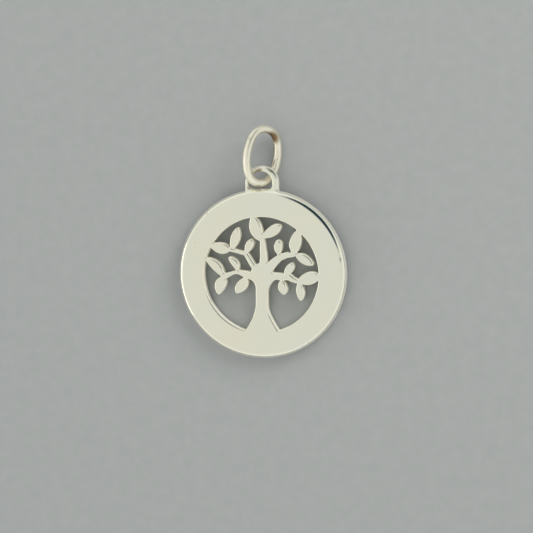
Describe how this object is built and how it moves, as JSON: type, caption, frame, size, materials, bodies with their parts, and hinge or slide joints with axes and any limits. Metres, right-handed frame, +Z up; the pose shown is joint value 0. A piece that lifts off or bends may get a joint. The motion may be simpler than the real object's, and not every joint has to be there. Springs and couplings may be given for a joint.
{
  "type": "tree of life pendant",
  "caption": "Flat round pendant pierced with a leafy tree inside a plain rim, with an arched lug that holds an oval jump ring of round wire.",
  "frame": {"origin": "middle of the footprint, on the surface that the pendant lies on", "axes": "+Z up out of the pendant's front, +Y from the disc towards the jump ring, +X to the right as seen from the front"},
  "size_m": [0.0162, 0.0222, 0.0032],
  "materials": {
    "tree_disc": "polished sterling silver, lightly tarnished in the corners of the pierced work",
    "jump_ring": "sterling silver wire, a little duller and yellower than the disc"
  },
  "bodies": {
    "root": {"tree_disc": "tree_disc", "jump_ring": "jump_ring"}
  },
  "joints": []
}
